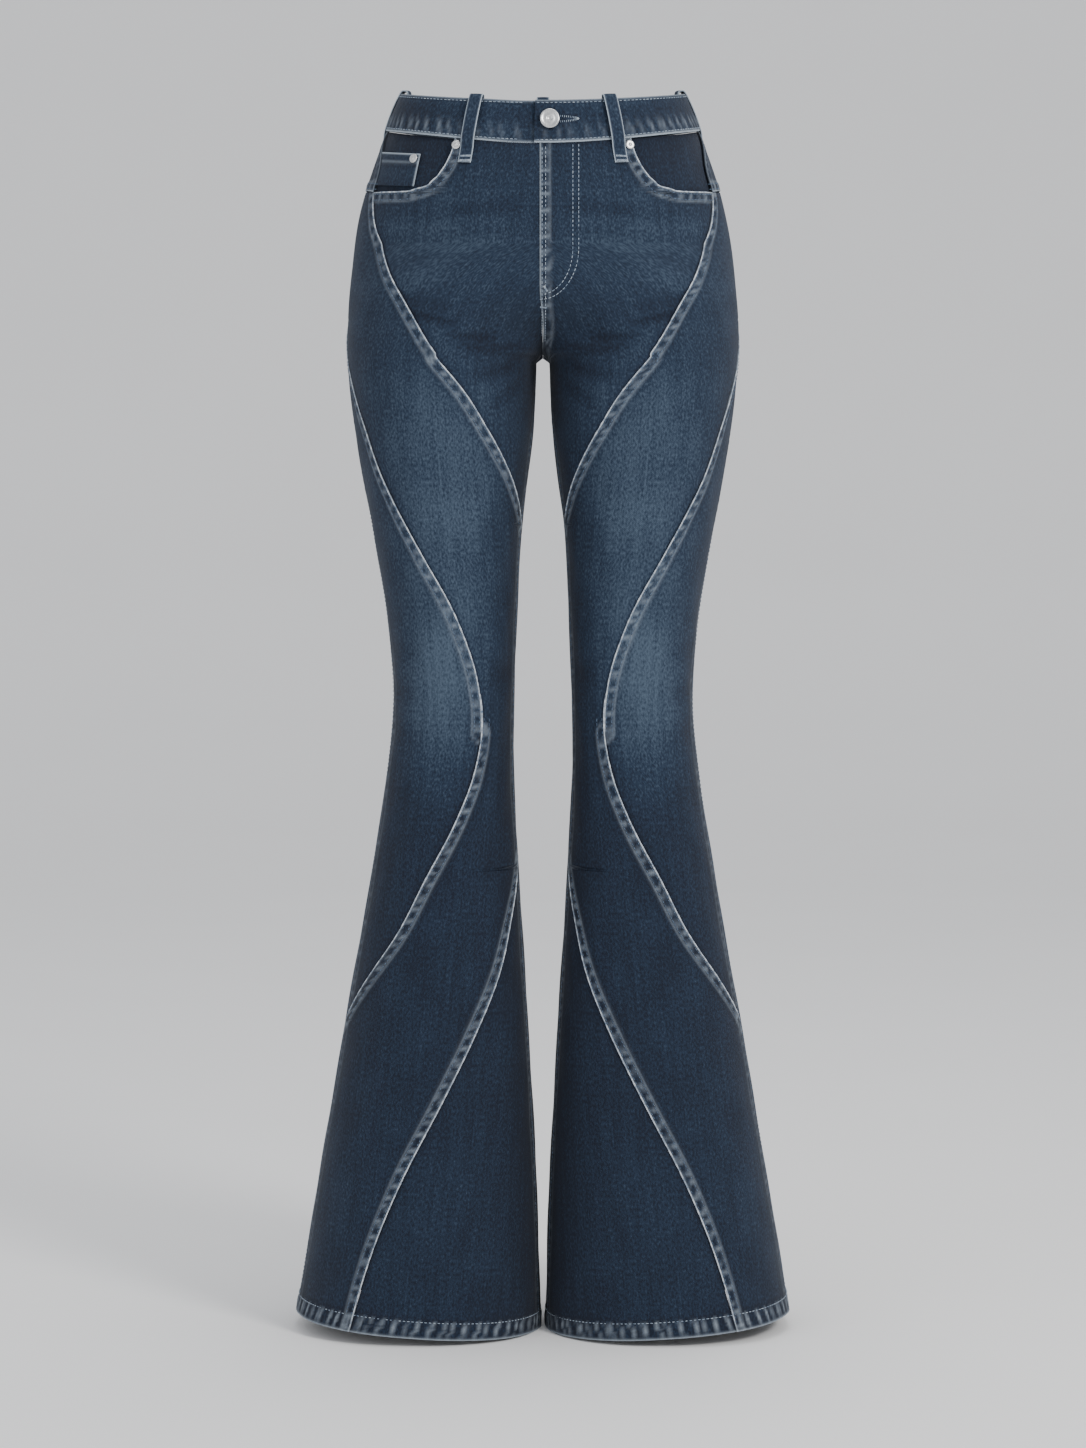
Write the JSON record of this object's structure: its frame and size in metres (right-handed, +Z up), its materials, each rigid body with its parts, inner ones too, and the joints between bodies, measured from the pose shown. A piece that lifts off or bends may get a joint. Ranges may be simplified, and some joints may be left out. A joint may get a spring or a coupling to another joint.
{
  "type": "flared jeans",
  "caption": "High-waisted denim jeans, close at the thigh and knee and widely flared to the hem, with curved panel seams, hollow as worn.",
  "frame": {"origin": "centre of the waist, half way up the waistband, where the wearer's waist holds the jeans", "axes": "+X to the wearer's left, -Y to the front, +Z up"},
  "size_m": [0.4396, 0.2194, 1.1033],
  "materials": {
    "denim": "washed indigo twill",
    "denim_light": "washed indigo twill, a little more faded",
    "denim_dark": "indigo twill, less faded",
    "brushed_steel": "satin silver-coloured metal"
  },
  "bodies": {
    "root": {"back_leg_left": "denim", "back_leg_right": "denim", "back_pocket_left": "denim_light", "back_pocket_right": "denim_light", "back_yoke_left": "denim_light", "back_yoke_right": "denim_light", "belt_loop_back": "denim_light", "belt_loop_front_left": "denim_light", "belt_loop_front_right": "denim_light", "belt_loop_side_left": "denim_light", "belt_loop_side_right": "denim_light", "coin_pocket": "denim_light", "fly_shield": "denim_dark", "front_gore_left": "denim_dark", "front_gore_right": "denim_dark", "front_knee_left": "denim_light", "front_knee_right": "denim_light", "front_sweep_left": "denim", "front_sweep_right": "denim", "front_upper_left": "denim", "front_upper_right": "denim", "pocket_facing_left": "denim_dark", "pocket_facing_right": "denim_dark", "rivet_coin": "brushed_steel", "rivet_pocket_left": "brushed_steel", "rivet_pocket_right": "brushed_steel", "waist_button": "brushed_steel", "waistband": "denim"}
  },
  "joints": []
}
